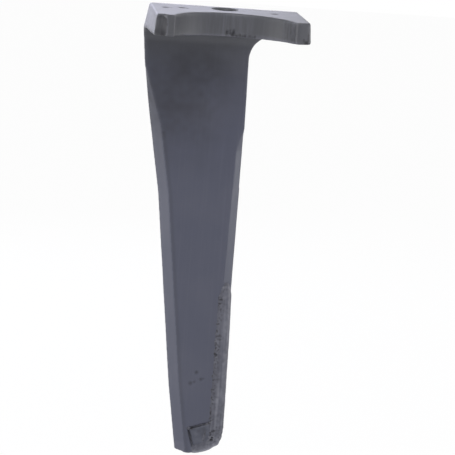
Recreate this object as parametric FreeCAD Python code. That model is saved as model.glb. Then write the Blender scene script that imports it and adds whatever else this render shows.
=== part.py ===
"""Harrow tine, in millimetres.

A forged head slides under a rotor and hugs its hub with a round seat. One bolt holds it.
The blade bends down from the back of the head. Its right edge leads through the soil, so its
lower half carries a rough hard weld bead, and a wear tile is let into the tip.

Origin: on the bolt's axis, in the head's top face. Z is up, X runs along the head to its
leading end, and the hub lies towards -Y.
"""

import FreeCAD, Part
import math
import os

from FreeCAD import Vector

# Head
head_thickness = 16.8  # at the bolt's axis
underside_draft = 2.5  # degrees, so that the head thickens towards the bend
head_left = 50.0  # bolt axis to the trailing end, at the top face
head_right_front = 51.6  # bolt axis to the leading end, at its front corner
head_right_back = 51.2  # the same, at its back corner
head_front = 54.5  # bolt axis to the two flats beside the hub seat
end_draft = 5.5  # degrees, on both ends at the front
left_back_draft = 10.5  # degrees, where the trailing end flows into the blade
ear_corner_radius = 12.0  # back corner of the leading end, seen from above

# Hub seat
hub_radius = 41.0
hub_x = 2.0  # the hub's axis is a little off the bolt's
hub_y = -63.5

# Corners beside the flats
left_facet_width = 6.0
left_facet_depth = 2.4
right_facet_width = 7.2
right_facet_depth = 2.6
scoop_depth = 1.1  # the trailing corner's facet is dressed hollow
scoop_lean = 4.0  # degrees, so that the hollow fades towards the lower edge

# Bolt hole
bolt_hole_radius = 8.5
bolt_hole_chamfer = 0.9

# Bend between head and blade
blade_face = 20.0  # from the bolt axis back to the blade's front face
inner_bend_radius = 10.0
outer_bend_radius = 24.0

# Blade, seen from the front. Heights are below the top face, and what ends in _up is above the
# tip's lowest point. The rest is from the bolt's axis.
blade_length = 326.2
blade_right = 22.9  # the leading edge, which is square to the head
blade_right_root = 21.3  # where the leading edge leaves the web
right_knee_height = 104.0
web_radius = 18.6  # in the corner between leading edge and head
left_bow_height = 84.0  # the trailing edge bows out from the root down to here
left_bow_end = 44.5
left_bow_rise = 0.9
left_knee_height = 134.0  # and tapers less below here
left_knee = 35.5
left_worn = 17.9  # where it is worn back more from here to the tip
left_worn_up = 50.2
tip_low = 1.0  # right of the axis, the lowest point
tip_left = 10.1  # the tip's trailing corner
tip_left_up = 1.6
tip_rise_start = 11.0  # where the tip's lower edge turns up into its round corner
tip_rise_up = 3.8
tip_heel_up = 18.2  # where the round corner meets the leading edge
tip_bulge = 0.18  # share of its chord by which the round corner stands out

# Blade section
blade_thickness = 16.0
tip_thickness = 12.5
side_draft = 7.3  # degrees, so that both sides narrow to the back
left_bevel_width = 7.9
left_bevel_depth = 5.5
left_bevel_start = 43.0
left_bevel_full = 86.0
right_bevel_width = 5.7
right_bevel_tip_width = 8.4
right_bevel_depth = 4.6
right_bevel_start = 83.0
right_bevel_full = 101.0
run_out_clearance = 0.3  # how far outside the edge a bevel starts
back_edge_size = 2.6
back_edge_start = 38.0
back_edge_full = 62.0

# Torn lower edge of the hub seat
tear_centre = 5.6
tear_pitch = 1.6
tear_count = 8
tear_radius = 2.3

# Wear tile in the tip
tile_width = 15.6
tile_height = 13.2
tile_turn = 16.5  # degrees
tile_corner_x = -0.2  # upper trailing corner
tile_corner_up = 18.9
tile_seat_depth = 2.3
tile_proud = 0.5
tile_gap = 1.0
tile_chamfer = 0.7

# Weld bead
bead_top_up = 130.2
bead_half_width_top = 6.4
bead_half_width_tip = 7.3
bead_inset_top = 5.8  # from the leading edge to the bead's middle line
bead_inset_tip = 4.6
bead_half_depth = 5.6
bead_middle_depth = 4.4  # behind the blade's front face
bead_turn_radius = 3.5
bead_turn_share = 0.9  # how near its inner side comes to the centre of that turn
bead_foot_x = 3.4  # where the bead ends under the tip
bead_foot_up = 2.7
bead_corner_up = 11.7  # where the middle line turns under the tip
bead_end_size = 0.55  # share of its full size at both ends
bead_ripple = 0.045  # share of its size by which the bead swells and thins
bead_pitch = 7.4


def tan(degrees):
    return math.tan(math.radians(degrees))


def line(a, b):
    return Part.makeLine(a, b)


def arc(a, middle, b):
    return Part.Arc(a, middle, b).toShape()


def polygon(points):
    return Part.makePolygon(list(points) + [points[0]])


def prism(wire, direction):
    return Part.Face(wire).extrude(direction)


def tangent_arc(before, corner, after, radius):
    """Start, middle and end of the arc that rounds a corner."""
    back = (before - corner).normalize()
    ahead = (after - corner).normalize()
    half = back.getAngle(ahead) / 2
    reach = radius / math.tan(half)
    bisector = (back + ahead).normalize()
    centre = corner + bisector * (radius / math.sin(half))
    return corner + back * reach, centre - bisector * radius, corner + ahead * reach


wide = head_left + head_right_front  # well past the part on either side
beyond = 5.0  # how far tools run past the tip
root_thickness = head_thickness + blade_face * tan(underside_draft)
back_of_blade = blade_face + blade_thickness
tip_back = blade_face + tip_thickness
root_left = head_left + root_thickness * tan(left_back_draft)
left_worn_height = blade_length - left_worn_up
tip_left_height = blade_length - tip_left_up


def thickness_at(y):
    """Thickness of the head, which grows from the hub towards the bend."""
    return head_thickness + y * tan(underside_draft)


def left_edge(height):
    """Distance from the bolt's axis to the trailing edge, below the bend."""
    stations = [
        (root_thickness, root_left),
        (left_bow_height, left_bow_end),
        (left_knee_height, left_knee),
        (left_worn_height, left_worn),
        (tip_left_height, tip_left),
    ]
    for i in range(1, len(stations)):
        (top, start), (low, end) = stations[i - 1 : i + 1]
        share = (height - top) / (low - top)
        if share <= 1 or i == len(stations) - 1:
            bow = 4 * left_bow_rise * share * (1 - share) if i == 1 else 0.0
            return start + share * (end - start) + bow


def side_profile():
    """The bent bar from its end, as wide as the head and more."""

    def at(y, height):
        return Vector(-wide, y, -height)

    front = -head_front - beyond
    low = blade_length + beyond
    top_back = at(back_of_blade, 0)
    outer = tangent_arc(at(front, 0), top_back, at(back_of_blade, low), outer_bend_radius)
    inner = tangent_arc(
        at(blade_face, low), at(blade_face, root_thickness), at(front, thickness_at(front)), inner_bend_radius
    )
    wire = Part.Wire(
        [
            line(at(front, 0), outer[0]),
            arc(*outer),
            line(outer[2], at(tip_back, low)),
            line(at(tip_back, low), at(blade_face, low)),
            line(at(blade_face, low), inner[0]),
            arc(*inner),
            line(inner[2], at(front, thickness_at(front))),
            line(at(front, thickness_at(front)), at(front, 0)),
        ]
    )
    return prism(wire, Vector(2 * wide, 0, 0))


def head_outline(height):
    """The head from above, up to the line of the blade's face and without the hub seat."""
    z = -height
    left_front = -head_left - height * tan(end_draft)
    left_back = -head_left - height * tan(left_back_draft)
    right_front = head_right_front + height * tan(end_draft)
    right_back = head_right_back + height * tan(end_draft)
    return polygon(
        [
            Vector(left_back, blade_face, z),
            Vector(left_front, -head_front + left_facet_depth, z),
            Vector(left_front + left_facet_width, -head_front, z),
            Vector(right_front - right_facet_width, -head_front, z),
            Vector(right_front, -head_front + right_facet_depth, z),
            Vector(right_back, blade_face, z),
        ]
    )


def head_plate():
    return Part.makeLoft([head_outline(0.0), head_outline(root_thickness)], True, True)


def ear_back_outline(height):
    """The back of the head's leading end from above, with its round corner."""
    z = -height
    right = head_right_back + height * tan(end_draft)
    origin = Vector(0, blade_face, z)
    side = Vector(right, blade_face, z)
    back = Vector(0, back_of_blade, z)
    rounded = tangent_arc(side, Vector(right, back_of_blade, z), back, ear_corner_radius)
    return Part.Wire(
        [line(origin, side), line(side, rounded[0]), arc(*rounded), line(rounded[2], back), line(back, origin)]
    )


def ear_back():
    return Part.makeLoft([ear_back_outline(0.0), ear_back_outline(root_thickness)], True, True)


def blade_outline(left_inset, right_inset, y):
    """The root and the blade from the front. Each long side moves in by its inset."""

    def at(x, height):
        return Vector(x, y, -height)

    top_left = at(left_inset - head_left, 0)
    def on_left(height):
        return at(left_inset - left_edge(height), height)

    root = on_left(root_thickness)
    bow = on_left((root_thickness + left_bow_height) / 2)
    bow_end = on_left(left_bow_height)
    knee = on_left(left_knee_height)
    worn = on_left(left_worn_height)
    tip_corner = on_left(tip_left_height)
    lowest = at(tip_low, blade_length)
    rise = at(tip_rise_start, blade_length - tip_rise_up)
    heel = at(blade_right - right_inset, blade_length - tip_heel_up)
    chord = heel - rise
    bulge = rise + chord * 0.5 + Vector(chord.z, 0, -chord.x) * tip_bulge
    right_knee = at(blade_right - right_inset, right_knee_height)
    root_corner = at(blade_right_root - right_inset, root_thickness)
    web = tangent_arc(right_knee, root_corner, at(wide, root_thickness), web_radius + right_inset)
    top_right = Vector(web[2].x, y, 0)
    return Part.Wire(
        [
            line(top_left, root),
            arc(root, bow, bow_end),
            line(bow_end, knee),
            line(knee, worn),
            line(worn, tip_corner),
            line(tip_corner, lowest),
            line(lowest, rise),
            arc(rise, bulge, heel),
            line(heel, right_knee),
            line(right_knee, web[0]),
            arc(*web),
            line(web[2], top_right),
            line(top_right, top_left),
        ]
    )


def root_and_blade():
    """Square to the face before the front face, drafted behind it, on the right only behind the bevel."""
    start = back_of_blade - outer_bend_radius
    front = prism(blade_outline(0.0, 0.0, start), Vector(0, blade_face - start, 0))
    left_middle = right_bevel_depth * tan(side_draft)
    left_back = blade_thickness * tan(side_draft)
    back = Part.makeLoft(
        [
            blade_outline(0.0, 0.0, blade_face),
            blade_outline(left_middle, 0.0, blade_face + right_bevel_depth),
            blade_outline(left_back, left_back - left_middle, back_of_blade),
        ],
        True,
        True,
    )
    return front.fuse(back)


def edge_cutter(stations, outward, ahead):
    """A wedge that takes an edge off. Each station has a height and the cut's two ends (x, y)."""
    reach = 8.0
    past = 0.3
    wires = []
    for height, side, face in stations:
        side = Vector(side[0], side[1], -height)
        face = Vector(face[0], face[1], -height)
        along = (side - face).normalize() * past
        side = side + along
        face = face - along
        side_out = side + Vector(outward * reach, 0, 0)
        face_out = face + Vector(0, ahead * reach, 0)
        corner = Vector(side_out.x, face_out.y, -height)
        wires.append(polygon([face, side, side_out, corner, face_out]))
    return Part.makeLoft(wires, True, True)


def left_bevel():
    def station(height, width, clear):
        x = -left_edge(height) - clear
        side = x + left_bevel_depth * tan(side_draft)
        return height, (side, blade_face + left_bevel_depth), (x + width, blade_face)

    stations = [station(left_bevel_start, 0.0, run_out_clearance)]
    for height in (left_bevel_full, left_knee_height, left_worn_height, blade_length + beyond):
        stations.append(station(height, left_bevel_width, 0.0))
    return edge_cutter(stations, -1, -1)


def right_bevel():
    def station(height, width, clear):
        x = blade_right + clear
        return height, (x, blade_face + right_bevel_depth), (x - width, blade_face)

    stations = [
        station(right_bevel_start, 0.0, run_out_clearance),
        station(right_bevel_full, right_bevel_width, 0.0),
        station(blade_length + beyond, right_bevel_tip_width, 0.0),
    ]
    return edge_cutter(stations, 1, -1)


def back_face(height):
    """Distance from the bolt's axis back to the blade's back, which tapers to the tip."""
    share = (height - outer_bend_radius) / (blade_length + beyond - outer_bend_radius)
    return back_of_blade - share * (back_of_blade - tip_back)


def left_back_edge():
    def station(height, size, clear):
        y = back_face(height)
        x = -left_edge(height) + (y - blade_face) * tan(side_draft) - clear
        return height, (x, y - size), (x + size, y + clear)

    stations = [station(back_edge_start, 0.0, run_out_clearance)]
    for height in (back_edge_full, left_knee_height, left_worn_height, blade_length + beyond):
        stations.append(station(height, back_edge_size, 0.0))
    return edge_cutter(stations, -1, 1)


def right_back_edge():
    def station(height, size, clear):
        y = back_face(height)
        x = blade_right - (y - blade_face - right_bevel_depth) * tan(side_draft) + clear
        return height, (x, y - size), (x - size, y + clear)

    stations = [station(back_edge_start, 0.0, run_out_clearance)]
    for height in (back_edge_full, blade_length + beyond):
        stations.append(station(height, back_edge_size, 0.0))
    return edge_cutter(stations, 1, 1)


def bolt_hole():
    """The hole, chamfered at the top face."""
    deep = root_thickness + beyond
    hole = Part.makeCylinder(bolt_hole_radius, 2 * deep, Vector(0, 0, -deep))
    mouth = bolt_hole_radius + bolt_hole_chamfer
    chamfer = Part.makeCone(bolt_hole_radius, mouth, bolt_hole_chamfer, Vector(0, 0, -bolt_hole_chamfer))
    return hole.fuse(chamfer)


def hub_seat():
    deep = root_thickness + beyond
    return Part.makeCylinder(hub_radius, 2 * deep, Vector(hub_x, hub_y, -deep))


def trailing_scoop():
    """The hollow dressed into the trailing corner's facet."""
    chord = math.hypot(left_facet_width, left_facet_depth)
    radius = (chord**2 / 4 + scoop_depth**2) / (2 * scoop_depth)
    out = Vector(-left_facet_depth, -left_facet_width, 0).normalize()
    along = Vector(left_facet_width, -left_facet_depth, 0).normalize()
    middle = Vector(-head_left + left_facet_width / 2, -head_front + left_facet_depth / 2, 0)
    top = middle + out * (radius - scoop_depth)
    deep = root_thickness + beyond
    cylinder = Part.makeCylinder(radius, 2 * deep, top - Vector(0, 0, deep))
    cylinder.rotate(top, along, scoop_lean)
    return cylinder


def tears():
    """Nicks where the punched seat tore at its lower edge, each of its own size and depth."""
    nicks = []
    for i in range(tear_count):
        x = tear_centre + (i - (tear_count - 1) / 2) * tear_pitch
        radius = tear_radius * (0.7 + 0.3 * math.cos(2.1 * i + 0.4))
        y = hub_y + math.sqrt(hub_radius**2 - (x - hub_x) ** 2)
        height = thickness_at(y) - 0.45 * tear_radius * (1 + math.sin(1.7 * i))
        nicks.append(Part.makeSphere(radius, Vector(x, y - 0.5 * radius, -height)))
    return nicks


def tile_block(gap, along, down, y_front, y_back):
    """A block set on the blade's face like the tile, with a gap at its upper and trailing sides."""
    a = math.radians(tile_turn)
    right = Vector(math.cos(a), 0, math.sin(a))
    low = Vector(math.sin(a), 0, -math.cos(a))
    corner = Vector(tile_corner_x, y_front, tile_corner_up - blade_length) - (right + low) * gap
    far = corner + right * (gap + along)
    wire = polygon([corner, far, far + low * (gap + down), corner + low * (gap + down)])
    return prism(wire, Vector(0, y_back - y_front, 0))


def wear_tile():
    """The tile on its seat, with its front edges eased."""
    front = blade_face - tile_proud
    block = tile_block(0.0, tile_width, tile_height, front, blade_face + tile_seat_depth)
    edges = [e for e in block.Edges if all(abs(v.Y - front) < 0.001 for v in e.Vertexes)]
    return block.makeChamfer(tile_chamfer, edges)


def tile_pocket():
    """The tile's seat, open to the leading edge and the tip."""
    return tile_block(tile_gap, wide, wide, blade_face - beyond, blade_face + tile_seat_depth)


def tile_room():
    """The space that the bead leaves free for the tile and the gap beside it."""
    return tile_block(tile_gap, tile_width, tile_height, blade_face - beyond, blade_face + tile_seat_depth)


def bead_path():
    """Points, outward directions and room inwards along the bead's middle line, from top to foot."""
    top = Vector(blade_right - bead_inset_top, 0, bead_top_up - blade_length)
    corner = Vector(blade_right - bead_inset_tip, 0, bead_corner_up - blade_length)
    foot = Vector(bead_foot_x, 0, bead_foot_up - blade_length)
    turn = tangent_arc(top, corner, foot, bead_turn_radius)
    curves = [Part.LineSegment(top, turn[0]), Part.Arc(*turn), Part.LineSegment(turn[2], foot)]
    centre = curves[1].toShape().Curve.Center
    stations = []
    for curve in curves:
        length = curve.length()
        steps = max(2, round(length / bead_pitch))
        first = 1 if stations else 0
        for i in range(first, steps + 1):
            u = curve.parameterAtDistance(length * i / steps, curve.FirstParameter)
            point = curve.value(u)
            tangent = curve.tangent(u)[0]
            room = bead_turn_share * (point - centre).Length
            stations.append((point, Vector(-tangent.z, 0, tangent.x), room))
    return stations


def bead_blank():
    """The bead as a lumpy rod round the edge, before it is fitted to the blade and the tile."""
    stations = bead_path()
    last = len(stations) - 1
    angles = [math.radians(a) for a in range(0, 360, 30)]
    rings = []
    for i, (point, outward, room) in enumerate(stations):
        ends = bead_end_size + (1 - bead_end_size) * min(2, i, last - i) / 2
        swell = math.sin(2.4 * i) + 0.6 * math.sin(5.1 * i + 1.0)
        width = bead_half_width_top + (bead_half_width_tip - bead_half_width_top) * i / last
        width *= ends * (1 + bead_ripple * swell)
        depth = bead_half_depth * ends * (1 + 0.8 * bead_ripple * math.sin(3.3 * i + 0.7))
        ring = []
        for a in angles:
            y = blade_face + bead_middle_depth - depth * math.sin(a)
            reach = width if math.cos(a) > 0 else min(width, room)
            ring.append(point + outward * reach * math.cos(a) + Vector(0, y, 0))
        rings.append(polygon(ring))
    return Part.makeLoft(rings, True, True)


def forged_tine():
    blank = head_plate().fuse([ear_back(), root_and_blade()])
    tine = side_profile().common(blank)
    cutters = [left_bevel(), right_bevel(), left_back_edge(), right_back_edge()]
    cutters += [hub_seat(), trailing_scoop(), bolt_hole(), tile_pocket()]
    for cutter in cutters + tears():
        tine = tine.cut(cutter)
    return tine.removeSplitter()


def save(name, shape):
    """Writes one node, whose shape is a single solid."""
    solid = shape.Solids[0]
    print(name, "solids", len(shape.Solids), "valid", solid.isValid(), "cm3 %.2f" % (solid.Volume / 1000))
    solid.exportStep("parts/" + name + ".step")


def main():
    os.makedirs("parts", exist_ok=True)
    tine = forged_tine()
    tile = wear_tile()
    bead = bead_blank().cut(tine).cut(tile_room())
    save("forged_tine", tine)
    save("tip_wear_tile", tile)
    save("hardfacing_bead", bead)


main()
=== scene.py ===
"""The looks of a power harrow tine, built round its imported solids.

The scene is in metres in the solids' frame: the origin is on the bolt's axis in the head's top
face, +Z is up, +X runs to the leading end, and the hub lies towards -Y. The places and sizes of
dents, weld and marks are in mm in the same frame.
"""

import math

import bmesh
import bpy
from mathutils import Matrix, Vector, noise


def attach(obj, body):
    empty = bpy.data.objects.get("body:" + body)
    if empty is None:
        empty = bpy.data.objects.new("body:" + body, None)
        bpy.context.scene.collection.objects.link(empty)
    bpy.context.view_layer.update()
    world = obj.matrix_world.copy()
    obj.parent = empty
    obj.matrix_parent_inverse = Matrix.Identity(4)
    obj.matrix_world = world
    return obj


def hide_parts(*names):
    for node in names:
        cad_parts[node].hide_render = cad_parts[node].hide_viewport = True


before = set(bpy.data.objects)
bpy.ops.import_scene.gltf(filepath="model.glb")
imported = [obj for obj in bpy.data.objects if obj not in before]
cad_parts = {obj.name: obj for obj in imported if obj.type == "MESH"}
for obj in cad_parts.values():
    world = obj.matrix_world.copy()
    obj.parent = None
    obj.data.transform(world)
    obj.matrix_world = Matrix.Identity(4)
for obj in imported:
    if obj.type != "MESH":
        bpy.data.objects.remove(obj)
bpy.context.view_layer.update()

mm = 0.001
# A height just under the head, and a depth a little behind the blade's face, in mm.
under_head, behind_face = -18, 23


def ramp(value, start, end):
    """How far a value lies on the way from start to end, from 0 to 1."""
    return min(1.0, max(0.0, (value - start) / (end - start)))


def bell(value, middle, width):
    """A soft peak that is 1 at the middle and nearly 0 at twice the width from it."""
    return math.exp(-(((value - middle) / width) ** 2))


def colour(text):
    """An sRGB hex value as the linear colour that shaders take."""
    parts = [int(text[i : i + 2], 16) / 255 for i in (1, 3, 5)]
    linear = [c / 12.92 if c <= 0.04045 else ((c + 0.055) / 1.055) ** 2.4 for c in parts]
    return (*linear, 1.0)


def add(tree, kind, inputs=None, **settings):
    """Adds a shader node. An input is a value, or the output socket that feeds it."""
    node = tree.nodes.new("ShaderNode" + kind)
    for name, value in settings.items():
        setattr(node, name, value)
    for name, value in (inputs or {}).items():
        if isinstance(value, bpy.types.NodeSocket):
            tree.links.new(value, node.inputs[name])
        else:
            node.inputs[name].default_value = value
    return node


def put(name, data):
    """A new object in the scene that shows the data."""
    obj = bpy.data.objects.new(name, data)
    bpy.context.scene.collection.objects.link(obj)
    return obj


def as_mesh(bm, name):
    """A mesh that holds what the bmesh held. The bmesh is freed."""
    mesh = bpy.data.meshes.new(name)
    bm.to_mesh(mesh)
    bm.free()
    return mesh


def make_camera():
    """The camera: on the hub side, a little above and towards the trailing end, and turned about
    its own axis."""
    azimuth, tilt, roll = (math.radians(a) for a in (7.0, 12.6, 4.6))
    distance, to_right, to_below = 1.3, 1.5 * mm, 148.4 * mm
    level_ahead = Vector((math.sin(azimuth), math.cos(azimuth), 0))
    ahead = level_ahead * math.cos(tilt) - Vector((0, 0, math.sin(tilt)))
    level = Vector((math.cos(azimuth), -math.sin(azimuth), 0))
    upright = level.cross(ahead)
    right = level * math.cos(roll) + upright * math.sin(roll)
    up = upright * math.cos(roll) - level * math.sin(roll)
    turn = Matrix((right, up, -ahead)).transposed().to_4x4()
    middle = right * to_right - up * to_below - ahead * distance
    camera = put("camera", bpy.data.cameras.new("camera"))
    camera.data.lens = 151.26
    camera.data.clip_end = 20
    camera.matrix_world = Matrix.Translation(middle) @ turn
    bpy.context.scene.camera = camera


# Materials


# Thin satin paint that a forging is dipped in. It is slightly blue and even, greyer and duller up
# on the head, where thicker mill scale shows through, and a little cloudy. It is paler where edges
# have rubbed, where painted highlights sit and where it ran upright as it drained, and dark and
# matt where dirt and painted shade sit. Orange peel breaks up its gloss.
def dip_paint(name, shade, light, wear_and_sheen_tint, rough, peel):
    scaled, dirt_and_shade_tint = "#3f4045", "#14141b"
    rougher_head, rougher_dirt_and_shade = 0.08, 0.25
    cloud_size, cloud_share = 33 * mm, 0.6
    run_width, run_length, run_share = 1.5 * mm, 60 * mm, 0.11
    peel_size, peel_height = 1.2 * mm, 0.15 * mm
    material = bpy.data.materials.new(name)
    material.use_nodes = True
    tree = material.node_tree
    shader = tree.nodes["Principled BSDF"]
    at = add(tree, "TexCoord").outputs["Object"]
    height = add(tree, "SeparateXYZ", {"Vector": at}).outputs["Z"]
    up = {"Value": height, "From Min": -50 * mm, "From Max": under_head * mm}
    headward = add(tree, "MapRange", up).outputs["Result"]
    wear_and_sheen = add(tree, "Attribute", attribute_name="wear_and_sheen").outputs["Fac"]
    dirt_and_shade = add(tree, "Attribute", attribute_name="dirt_and_shade").outputs["Fac"]

    duller = {"Value": headward, "To Min": rough, "To Max": rough + rougher_head}
    dull = add(tree, "MapRange", duller).outputs["Result"]
    matt = add(tree, "Math", {0: dirt_and_shade, 1: rougher_dirt_and_shade, 2: dull}, operation="MULTIPLY_ADD")
    tree.links.new(matt.outputs[0], shader.inputs["Roughness"])

    cloud = add(tree, "TexNoise", {"Vector": at, "Scale": 1 / cloud_size, "Detail": 3.0})
    cloudy = {"Value": cloud.outputs["Fac"], "From Min": 0.4, "From Max": 0.7}
    cloudy["To Max"] = cloud_share
    drawn_out = (1 / run_width, 1 / run_width, 1 / run_length)
    upright = add(tree, "Mapping", {"Vector": at, "Scale": drawn_out}).outputs["Vector"]
    run = add(tree, "TexNoise", {"Vector": upright, "Scale": 1.0, "Detail": 2.0})
    faint = {"Value": run.outputs["Fac"], "From Min": 0.5, "From Max": 0.9, "To Max": run_share}
    tint = colour(shade)
    for share, shown in (
        (add(tree, "MapRange", cloudy).outputs["Result"], light),
        (headward, scaled),
        (add(tree, "MapRange", faint).outputs["Result"], wear_and_sheen_tint),
        # Paler where worn and where painted highlights sit.
        (wear_and_sheen, wear_and_sheen_tint),
        # Darker where dirt and painted shade sit.
        (dirt_and_shade, dirt_and_shade_tint),
    ):
        layer = {"Factor": share, "A": tint, "B": colour(shown)}
        tint = add(tree, "Mix", layer, data_type="RGBA").outputs["Result"]
    tree.links.new(tint, shader.inputs["Base Color"])

    grain = add(tree, "TexNoise", {"Vector": at, "Scale": 1 / peel_size, "Detail": 2.0})
    skin = {"Height": grain.outputs["Fac"], "Strength": peel, "Distance": peel_height}
    tree.links.new(add(tree, "Bump", skin).outputs["Normal"], shader.inputs["Normal"])
    return material


# Pieces


def merged(node):
    """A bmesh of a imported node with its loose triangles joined."""
    bm = bmesh.new()
    bm.from_mesh(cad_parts[node].data)
    bmesh.ops.remove_doubles(bm, verts=bm.verts, dist=0.002 * mm)
    return bm


def rod(bm, stations):
    """Adds a closed rod. A station is its middle in mm, its half width across the blade, its half
    depth, and the direction in which it runs."""
    last = []
    for i, (middle, width, depth, along) in enumerate(stations):
        across = Vector((-along.z, 0, along.x)).normalized()
        axes = (across * width, Vector((0, depth, 0)), along.normalized())
        turn = Matrix(axes).transposed().to_4x4()
        here = Matrix.Scale(mm, 4) @ Matrix.Translation(middle) @ turn
        ends = i in (0, len(stations) - 1)
        ring = bmesh.ops.create_circle(bm, cap_ends=ends, segments=28, radius=1, matrix=here)
        loop = list(dict.fromkeys(e for v in ring["verts"] for e in v.link_edges))
        if last:
            bmesh.ops.bridge_loops(bm, edges=last + loop)
        last = loop


def remeshed(bm, voxel):
    """The same form as one even mesh, fine enough to be rubbed and dented by moving its points."""
    holder = put("holder", as_mesh(bm, "rough"))
    remesh = holder.modifiers.new("voxels", "REMESH")
    remesh.mode = "VOXEL"
    remesh.voxel_size = voxel
    evaluated = holder.evaluated_get(bpy.context.evaluated_depsgraph_get())
    even = bpy.data.meshes.new_from_object(evaluated)
    bpy.data.objects.remove(holder)
    out = bmesh.new()
    out.from_mesh(even)
    bpy.data.meshes.remove(even)
    return out


def soften(bm, rounds, inside=None):
    """Rounds the edges of the points that a test picks, or of all."""
    chosen = [v for v in bm.verts if inside is None or inside(v.co / mm)]
    axes = {"use_axis_x": True, "use_axis_y": True, "use_axis_z": True}
    for _ in range(rounds):
        bmesh.ops.smooth_vert(bm, verts=chosen, factor=0.5, **axes)


def bulge(vertex):
    """How far a point stands out of its neighbours' middle, in mm. Hollows are negative."""
    around = [e.other_vert(vertex).co for e in vertex.link_edges]
    middle = sum(around, Vector()) / len(around)
    return (vertex.co - middle).dot(vertex.normal) / mm


def finish_piece(bm, name, material, node, marks):
    """Puts a piece in its node's place. Its marks give the wear and painted highlights, and the
    dirt and painted shade, of a point from where it is, which way it faces and how far it stands
    out, in mm."""
    bm.normal_update()
    wear_and_sheen_layer = bm.verts.layers.float.new("wear_and_sheen")
    dirt_and_shade_layer = bm.verts.layers.float.new("dirt_and_shade")
    sharp = {v: bulge(v) for v in bm.verts}
    for v in bm.verts:
        around = [sharp[e.other_vert(v)] for e in v.link_edges]
        level = (sharp[v] + sum(around)) / (1 + len(around))
        wear_and_sheen, dirt_and_shade = marks(v.co / mm, v.normal, level)
        v[wear_and_sheen_layer] = ramp(wear_and_sheen, 0, 1)
        v[dirt_and_shade_layer] = ramp(dirt_and_shade, 0, 1)
    for face in bm.faces:
        face.smooth = True
    mesh = as_mesh(bm, name)
    mesh.materials.append(material)
    piece = put(name, mesh)
    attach(piece, "root")
    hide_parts(node)


# The hub that the seat was punched for.
hub, hub_radius = Vector((2.0, -63.5, 0)), 41.0
# The ground bevel's inner edge down the blade: z and x.
bevel_line = [(-86, -36.2), (-134, -27.6), (-276, -10.0), (-326, -2.0)]
# Painted shade in the gap round the tile, on its upper and its trailing side: start, end and
# reach.
gap_shades = [
    (Vector((1.2, 0, -306.8)), Vector((11.0, 0, -303.6)), 1.6),
    (Vector((-0.2, 0, -309.8)), Vector((2.9, 0, -319.8)), 1.7),
]
# Shallow dents: middle, radius, depth and the direction they go in.
back, down = Vector((0, 1, 0)), Vector((0, 0, -1))
dents = [
    (Vector((2.0, 20, -264.5)), 2.1, 0.5, back),
    (Vector((5.5, 20, -269.6)), 1.8, 0.5, back),
    (Vector((7.2, 20, -269.1)), 1.3, 0.3, back),
    (Vector((-1.8, 20, -272.8)), 2.2, 0.4, back),
    (Vector((0.9, 20, -271.6)), 1.4, 0.25, back),
    (Vector((-41.6, -11.5, 0)), 3.6, 0.6, down),
    (Vector((-38.6, -12.2, 0)), 2.2, 0.3, down),
    (Vector((-30.2, -7.6, 0)), 3.6, 0.6, down),
    (Vector((-27.4, -9.2, 0)), 2.4, 0.35, down),
    (Vector((33.0, -8.8, 0)), 3.8, 0.5, down),
]
# Torn places on the front of the head: x, z, half width, half height and strength.
torn = [
    (-0.2, -12.8, 1.3, 2.2, 0.7),
    (1.9, -12.4, 0.9, 2.6, 0.5),
    (3.9, -13.8, 2.1, 2.0, 1.0),
    (4.3, -11.6, 0.9, 1.7, 0.6),
    (6.6, -14.9, 1.3, 1.2, 0.6),
    (8.7, -14.6, 1.1, 1.5, 0.7),
    (10.5, -14.9, 1.0, 1.1, 0.5),
    (12.0, -14.6, 1.0, 1.5, 0.7),
    (13.8, -14.9, 0.9, 1.1, 0.5),
    (15.3, -14.6, 1.0, 1.4, 0.6),
    (17.0, -14.9, 0.9, 1.1, 0.4),
    (18.5, -14.6, 1.0, 1.3, 0.5),
    (49.0, -12.9, 1.6, 1.6, 0.9),
    (47.4, -11.4, 1.1, 1.6, 0.5),
    (50.4, -10.0, 0.9, 4.5, 0.5),
]


def off_seat(point):
    """How far a point lies from the round wall of the hub's seat."""
    return abs(math.hypot(point.x - hub.x, point.y - hub.y) - hub_radius)


def bevel_edge(height):
    """The x of the ground bevel's inner edge at a height on the blade."""
    for (high, x_high), (low, x_low) in zip(bevel_line, bevel_line[1:]):
        if height > low:
            break
    return x_high + (x_low - x_high) * (height - high) / (low - high)


def gap_shade(point):
    """How strongly the painted shade in the gap round the tile darkens a point, from 0 to 1."""
    here = Vector((point.x, 0, point.z))
    darkest = 0.0
    if point.y > behind_face:
        return darkest
    for start, end, reach in gap_shades:
        run = end - start
        share = ramp((here - start).dot(run), 0, run.length_squared)
        away = (here - start - run * share).length / reach
        darkest = max(darkest, (0.9 - 0.6 * share) * (1 - away))
    return darkest


def dent(point):
    """The move that the dents give a point, and how deep in a dent it lies from 0 to 1."""
    for centre, radius, depth, way in dents:
        away = (point - centre).length / radius
        if away < 1:
            share = (1 - away * away) ** 2
            return way * depth * share, share
    return Vector(), 0.0


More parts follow.
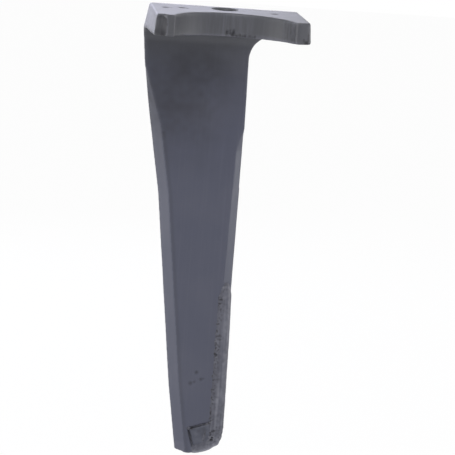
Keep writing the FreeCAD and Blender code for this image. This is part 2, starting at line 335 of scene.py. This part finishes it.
def head_front(p, level, wear_and_sheen, dirt_and_shade):
    """The wear with painted highlights, and the dirt, on the front of the head, given those that
    its edges have.
    """
    on_leading_ear, on_trailing_ear = p.x > 43.5, p.x < -31 and p.z < -1.2
    if off_seat(p) < 2.5:
        # The punched seat has upright shear marks, and a painted edge highlight along its lower
        # edge.
        shear = noise.noise(Vector((p.x / 0.9, 3.0, p.z / 16)))
        middle = max(0.0, 1 - (p.x / 30) ** 2)
        wear_and_sheen += (0.12 + 0.5 * max(0.0, shear)) * middle
        dirt_and_shade += (0.06 + 0.10 * middle) * max(0.0, -shear) + 0.13 * ramp(p.x, 8, 22)
        if p.z < -12:
            wear_and_sheen += 4 * max(0.0, level)
        if p.z < -13:
            wear_and_sheen += 0.3 * ramp(p.x, 16, 24)
    for x, z, wide, high, strength in torn:
        reach = ((p.x - x) / wide) ** 2 + ((p.z - z) / high) ** 2
        if reach < 1:
            speck = noise.noise(Vector((p.x / 1.1, p.z / 1.2, 6.0)))
            dirt_and_shade += strength * (1 - reach) * (1.3 + 0.9 * speck)
    if on_leading_ear:
        # It is rubbed evenly.
        wear_and_sheen = 0.4 * wear_and_sheen + 0.15
    if on_trailing_ear:
        # It is hardly rubbed.
        wear_and_sheen *= 0.2
    return wear_and_sheen, dirt_and_shade


def scooped_corner(p):
    """The wear and the dirt that the scooped trailing corner adds: it is darker and duller inside
    an oval, most at its leading side, low down and at the top, and has a painted highlight along
    the oval's leading rim."""
    middle_x, half_width = -47, 3.7
    middle_z, half_height = -8.5, 7.6
    rim, rim_reach = 1.33, 0.33
    oval = ((p.x - middle_x) / half_width) ** 2 + ((p.z - middle_z) / half_height) ** 4
    if oval < 1:
        streaked = 0.34 + 0.3 * noise.noise(Vector((p.x / 1.3, 1.0, p.z / 7)))
        leading = 0.4 * bell(p.x, -44.5, 1.3)
        low = 0.45 * bell(p.x, -46.0, 1.9) * bell(p.z, -13, 2.6)
        high = 0.3 * bell(p.z, -1.6, 1.4)
        return 0.0, streaked + leading + low + high
    if p.x > middle_x + 1:
        return 0.3 * max(0.0, 1 - abs(oval - rim) / rim_reach), 0.0
    return 0.0, 0.0


def shade_under_head(p):
    """Painted shade under the overhanging head: a round patch of painted shadow just below the
    head, and a cloudy painted shade that fades down the blade and towards its leading side."""
    patch = max(0.0, 1 - Vector(((p.x + 14) / 20, 0, (p.z + 40) / 16)).length ** 4)
    shade = bell(p.z, -64, 40) * ramp(p.x, 24, -6)
    cloudy = max(0.0, 1 + 0.55 * noise.noise(p / 15) + 0.35 * noise.noise(p / 5))
    return 0.13 * patch + 0.42 * shade * cloudy


def forging_marks(p, facing, level):
    """The wear with painted highlights, and the dirt with painted shade, at a point of the
    forging.
    """
    on_head = p.z > under_head
    on_front = on_head and p.y < -15 and facing.y < -0.2
    on_trailing_end = on_head and facing.x < -0.8
    on_scoop = p.x < -39.5 and p.y < -50.6 and p.z < -0.6 and facing.y < -0.3
    on_leading_bend = -75 < p.z < -15 and p.x > 2
    on_blade = p.z < -15 and p.y > 12
    on_bevel = p.z < -45 and facing.x < -0.35 and facing.y < -0.5
    on_lower_face = p.z < -90 and p.y < 21
    on_foot = p.z < -318

    # Edges are paler; dents, hollows and the painted shade in the gap round the tile are darker.
    wear_and_sheen = 2.2 * level
    dirt_and_shade = (0.8 if on_head else 0.6) * dent(p)[1] + max(0.0, -2.2 * level) + gap_shade(p)
    if on_front:
        wear_and_sheen, dirt_and_shade = head_front(p, level, wear_and_sheen, dirt_and_shade)
    if on_trailing_end:
        # It is sheared, with streaks and mottling.
        streak = noise.noise(Vector((4.0, p.y / 1.6, p.z / 14)))
        streak += 0.6 * noise.noise(Vector((9.0, p.y / 2.2, p.z / 2.2)))
        wear_and_sheen += 0.06 + 0.4 * max(0.0, streak)
        dirt_and_shade += 0.1 + 0.5 * max(0.0, -streak)
    if on_scoop:
        rim_sheen, dull = scooped_corner(p)
        # A painted highlight along the scoop's leading rim.
        wear_and_sheen += rim_sheen
        dirt_and_shade += dull
    if on_leading_bend:
        # A painted highlight of a rim light on the leading side of the bend.
        wear_and_sheen += 0.22 * ramp(p.x, 2, 14) * bell(p.z, -40, 18)
    if on_blade:
        # Painted shade under the overhanging head.
        dirt_and_shade += shade_under_head(p)
    if on_bevel:
        # Painted light on the trailing bevel, which faces a lamp: it is a little lighter all over.
        wear_and_sheen += 0.26
    if on_lower_face:
        # Painted shade along the ground bevel's inner edge.
        inside = (p.x - bevel_edge(p.z)) / 3.2
        if 0 < inside < 1:
            dirt_and_shade += 0.26 * math.sin(math.pi * inside**0.6)
    if on_foot:
        # It is lighter where it faces down: rubbed by soil, and painted light from the pale floor
        # below.
        wear_and_sheen += 0.7 * ramp(-facing.z, 0, 0.625)
    return wear_and_sheen, dirt_and_shade


# Places of the forging with rounder edges than the rest: rounds of smoothing, and a test.
rounder = [
    # under the weld at the tip
    (3, lambda p: p.z < -300 and p.x > 3),
    # the trailing ear's facet beside the seat
    (8, lambda p: -43 < p.x < -31 and p.y < -46 and -15.5 < p.z < -1.2),
    # the ends of both ears
    (4, lambda p: (p.x < -43 or p.x > 44) and p.y < -49),
    # the leading ear's facet
    (12, lambda p: p.x > 41 and p.y < -42 and -15.8 < p.z < -1.4),
    # where the leading bevel runs out
    (8, lambda p: p.x > 15 and p.y < 27 and -128 < p.z < -88),
    # the seat's rolled upper edge
    (9, lambda p: p.z > -2.6 and off_seat(p) < 2.2),
]


def forging(material):
    bm = remeshed(merged("forged_tine"), voxel=0.85 * mm)
    soften(bm, 1)
    for rounds, inside in rounder:
        soften(bm, rounds, inside)
    bm.normal_update()
    sunk = 0.06
    for v in bm.verts:
        # Long and short waves, sunk so that they stay inside the solid.
        p = v.co / mm
        wave = 0.09 * noise.noise(p / 22) + 0.035 * noise.noise(p / 6 + Vector((7, 3, 1)))
        move, _ = dent(p)
        v.co += (v.normal * (wave - sunk) + move) * mm
        v.co.z = min(0.0, v.co.z)
    finish_piece(bm, "forging", material, "forged_tine", forging_marks)


# The weld bead's middle line: place, half width and half depth.
bead_line = [
    (Vector((17.9, 23.6, -197.0)), 2.8, 3.2),
    (Vector((17.5, 24.2, -201.0)), 4.8, 4.9),
    (Vector((17.2, 24.4, -206.0)), 6.2, 5.4),
    (Vector((17.4, 24.4, -225.0)), 6.6, 5.6),
    (Vector((17.7, 24.4, -255.0)), 6.9, 5.6),
    (Vector((18.0, 24.4, -285.0)), 7.1, 5.6),
    (Vector((18.1, 24.4, -306.0)), 7.2, 5.6),
    (Vector((17.9, 24.4, -311.5)), 7.2, 5.5),
    (Vector((16.6, 24.4, -315.6)), 7.2, 5.4),
    (Vector((13.0, 24.4, -317.6)), 7.1, 5.3),
    (Vector((8.6, 24.4, -320.3)), 6.3, 5.0),
    (Vector((4.4, 24.2, -322.5)), 4.7, 4.5),
    (Vector((1.2, 24.2, -323.3)), 3.6, 4.1),
]
# Weld that has run into the gap round the tile, and that laps over its leading side and its foot.
runs = [
    [
        (Vector((16.5, 21.6, -301.6)), 1.6, 2.0),
        (Vector((13.0, 21.8, -302.4)), 1.2, 1.7),
        (Vector((9.6, 22.2, -303.5)), 0.5, 0.8),
    ],
    [(Vector((3.6, 21.8, -322.4)), 1.8, 1.9), (Vector((3.2, 22.0, -320.6)), 1.0, 1.3)],
    [(Vector((-1.9, 22.0, -306.3)), 1.9, 2.7), (Vector((0.3, 22.0, -307.6)), 1.8, 2.6)],
    [(Vector((-0.6, 22.4, -307.0)), 1.4, 1.9), (Vector((12.0, 22.4, -303.3)), 1.4, 1.9)],
    [(Vector((-0.7, 22.4, -307.2)), 1.4, 1.9), (Vector((3.1, 22.4, -320.0)), 1.4, 1.9)],
    [
        (Vector((13.0, 20.8, -303.6)), 1.4, 1.3),
        (Vector((11.6, 20.8, -308.0)), 2.2, 1.5),
        (Vector((11.6, 20.8, -312.0)), 2.6, 1.6),
        (Vector((9.4, 20.9, -316.6)), 2.6, 1.6),
        (Vector((5.0, 21.1, -319.6)), 1.8, 1.5),
    ],
]
# Pits in the weld: place, radius and depth.
bead_pits = [
    (Vector((16.4, 18.8, -314.8)), 1.9, 1.5),
    (Vector((17.1, 18.8, -313.0)), 1.5, 1.2),
    (Vector((15.7, 18.8, -311.2)), 1.3, 0.8),
    (Vector((15.4, 18.8, -309.8)), 1.3, 0.8),
    (Vector((16.5, 18.8, -308.4)), 1.3, 0.7),
    (Vector((18.0, 18.8, -308.0)), 1.3, 0.7),
    (Vector((14.3, 19.4, -300.6)), 1.5, 0.9),
    (Vector((15.0, 19.4, -250.7)), 1.4, 0.9),
    (Vector((16.4, 19.0, -246.5)), 0.9, 0.5),
    (Vector((17.5, 19.8, -198.4)), 2.4, 0.6),
    (Vector((19.0, 19.9, -201.8)), 2.0, 0.4),
]
# The height below which the bead has no rough inner edge, because it turns under the tile.
bead_turn = -304


def with_directions(line):
    """The stations of a rod along a line: its points and more between them, no more than about
    3 mm apart, each with the direction in which the line runs there."""
    filled = []
    for (start, width, depth), (end, end_width, end_depth) in zip(line, line[1:]):
        steps = max(1, round((end - start).length / 3))
        for i in range(steps):
            share = i / steps
            wide = width + (end_width - width) * share
            deep = depth + (end_depth - depth) * share
            filled.append((start.lerp(end, share), wide, deep))
    filled.append(line[-1])
    out = []
    for i, (middle, wide, deep) in enumerate(filled):
        along = filled[min(i + 1, len(filled) - 1)][0] - filled[max(i - 1, 0)][0]
        out.append((middle, wide, deep, Vector((along.x, 0, along.z))))
    return out


def by_tile(point):
    """Whether a point of the weld lies on the thin lap over the tile."""
    return point.z < -301.5 and point.x < 13.6 and point.y < 21.5


def pitted(point):
    """How far the pits of the weld sink a point."""
    depth = 0.0
    for centre, radius, deepest in bead_pits:
        away = math.hypot(point.x - centre.x, point.z - centre.z) / radius
        if away < 1 and point.y < behind_face:
            depth = max(depth, deepest * (1 - away * away) ** 2)
    return depth


def bead_marks(p, facing, level):
    """The wear with painted highlights, and the dirt with painted shade, at a point of the weld
    bead.
    """
    inner = ramp(p.x, 18.6, 13.6) if p.z > bead_turn else 0.4
    # Pits, hollows and the painted shade in the gap round the tile are darker.
    dirt_and_shade = 0.5 * pitted(p) + max(0.0, -3.5 * level) + 0.8 * gap_shade(p)
    dirt_and_shade += inner * (0.3 + 2.4 * max(0.0, noise.noise(p / 1.5) - 0.1))
    dirt_and_shade += 0.5 * max(0.0, noise.noise(p / 2.2 + Vector((5, 1, 7))) - 0.15)
    wear_and_sheen = 4 * level + 0.4 * max(0.0, noise.noise(p / 3.5 + Vector((2, 9, 4))))
    # Painted highlight in streaks along the front of the bead's outer part.
    sheen_streak = noise.noise(Vector((p.x / 1.6, p.y / 1.6, p.z / 30)))
    wear_and_sheen += (1 - inner) * max(0.0, -facing.y) * (0.14 + 0.5 * sheen_streak)
    if by_tile(p):
        wear_and_sheen *= 0.7
        dirt_and_shade += 0.1
    # The foot is lighter where it faces down, and its very end most: rubbed by soil, and painted
    # light from the pale floor below.
    if p.z < -312:
        under = ramp(-facing.z, 0, 0.625)
        wear_and_sheen += 0.9 * under
        dirt_and_shade *= 1 - 0.7 * under
    if p.z < -317:
        dirt_and_shade *= 0.6
    return wear_and_sheen, dirt_and_shade


def bead(material):
    bm = bmesh.new()
    for line in [bead_line] + runs:
        rod(bm, with_directions(line))
    bmesh.ops.recalc_face_normals(bm, faces=bm.faces)
    bm = remeshed(bm, voxel=0.45 * mm)
    soften(bm, 5)
    bm.normal_update()
    sunk = 0.12
    for v in bm.verts:
        # Lumps and ripples, most at the ragged inner edge, and calmer on the sides and the tile.
        p = v.co / mm
        inner = ramp(p.x, 19, 13) if p.z > bead_turn else 0.6
        ripple = noise.noise(p / 2.2 + Vector((3, 8, 2)))
        lump = 0.34 * noise.noise(p / 5.5) + (0.10 + 0.24 * inner) * ripple
        if p.y > 21.5 or by_tile(p):
            lump *= 0.4
        ragged = Vector((0.9 * inner * noise.noise(Vector((4.0, 2.0, p.z / 3.2))), 0, 0))
        v.co += (v.normal * (lump - sunk - pitted(p)) + ragged) * mm
    finish_piece(bm, "weld_bead", material, "hardfacing_bead", bead_marks)


def tile_marks(p, facing, level):
    """The wear, and the dirt with the painted shade of the gap round it, at a point of the tile.
    """
    cloudy = noise.noise(p / 3 + Vector((1, 2, 3)))
    dirt_and_shade = 0.5 * max(0.0, -cloudy) + gap_shade(p) + 0.5 * pitted(p)
    return 0.4 * level + 0.6 * max(0.0, cloudy), dirt_and_shade


def tile(material):
    bm = remeshed(merged("tip_wear_tile"), voxel=0.3 * mm)
    soften(bm, 7)
    for v in bm.verts:
        # The weld's pits reach into the tile's face.
        if v.co.y < 20.5 * mm:
            v.co.y += pitted(v.co / mm) * mm
    finish_piece(bm, "wear_tile", material, "tip_wear_tile", tile_marks)


make_camera()
forging(dip_paint("satin_dip_paint_on_forging", "#373a4b", "#3f4150", "#5c5d68", 0.42, 0.10))
bead(dip_paint("satin_dip_paint_on_weld", "#3d3e4a", "#50515d", "#74757f", 0.48, 0.30))
tile(dip_paint("satin_dip_paint_on_tile", "#373a48", "#40424f", "#55565f", 0.45, 0.20))


# Studio


def area_light(name, place, size, power, tint="#ffffff"):
    """A flat light that points at the part's middle. The camera doesn't see it."""
    middle = Vector((0, 0, -0.16))
    light = put(name, bpy.data.lights.new(name, "AREA"))
    light.data.shape = "RECTANGLE"
    light.data.size, light.data.size_y = size
    light.data.energy = power
    light.data.color = colour(tint)[:3]
    light.location = place
    light.rotation_euler = (middle - Vector(place)).to_track_quat("-Z", "Y").to_euler()
    light.visible_camera = False


def seen_directly(tree):
    """1 for rays from the camera, off a gloss or through glass, and 0 for soft light."""
    ray = add(tree, "LightPath").outputs
    seen = ray["Is Camera Ray"]
    for kind in ("Is Glossy Ray", "Is Transmission Ray"):
        seen = add(tree, "Math", {0: seen, 1: ray[kind]}, operation="MAXIMUM").outputs[0]
    return seen


def white_world():
    """White where it is seen, and weaker as a light."""
    world = bpy.data.worlds.new("studio")
    bpy.context.scene.world = world
    world.use_nodes = True
    tree = world.node_tree
    tree.nodes.clear()
    seen = seen_directly(tree)
    soft = add(tree, "Background", {"Color": colour("#ffffff"), "Strength": 0.25})
    white = add(tree, "Background", {"Color": colour("#ffffff"), "Strength": 1.0})
    mixed = add(tree, "MixShader", {"Fac": seen, 1: soft.outputs[0], 2: white.outputs[0]})
    add(tree, "OutputWorld", {"Surface": mixed.outputs[0]})


def pale_floor():
    """A floor that is nearly white where it is seen, with a trace of shadow."""
    half, height = 6, -0.62
    bm = bmesh.new()
    bmesh.ops.create_grid(bm, x_segments=1, y_segments=1, size=half)
    bmesh.ops.translate(bm, verts=bm.verts, vec=(0, 0, height))
    floor = put("floor", as_mesh(bm, "floor"))
    material = bpy.data.materials.new("pale_floor")
    material.use_nodes = True
    tree = material.node_tree
    tree.nodes.clear()
    mostly = add(tree, "Math", {0: seen_directly(tree), 1: 0.97}, operation="MULTIPLY")
    pale = add(tree, "BsdfDiffuse", {"Color": colour("#fafafa")})
    white = add(tree, "Emission", {"Color": colour("#ffffff"), "Strength": 1.0})
    shaders = {"Fac": mostly.outputs[0], 1: pale.outputs[0], 2: white.outputs[0]}
    mixed = add(tree, "MixShader", shaders)
    add(tree, "OutputMaterial", {"Surface": mixed.outputs[0]})
    floor.data.materials.append(material)


area_light("key", (-0.2, -1.4, 1.5), (0.6, 0.6), 23.5)
area_light("left", (-1.8, -0.25, -0.2), (0.7, 1.6), 26.8)
area_light("right", (1.7, -0.2, -0.1), (0.7, 1.6), 15)
area_light("behind", (-0.5, 1.8, 0.3), (1.8, 0.9), 20.4, "#e6e7ff")
area_light("below", (0.0, -0.5, -0.6), (1.0, 1.0), 2)
white_world()
pale_floor()
bpy.context.scene.view_settings.view_transform = "Standard"
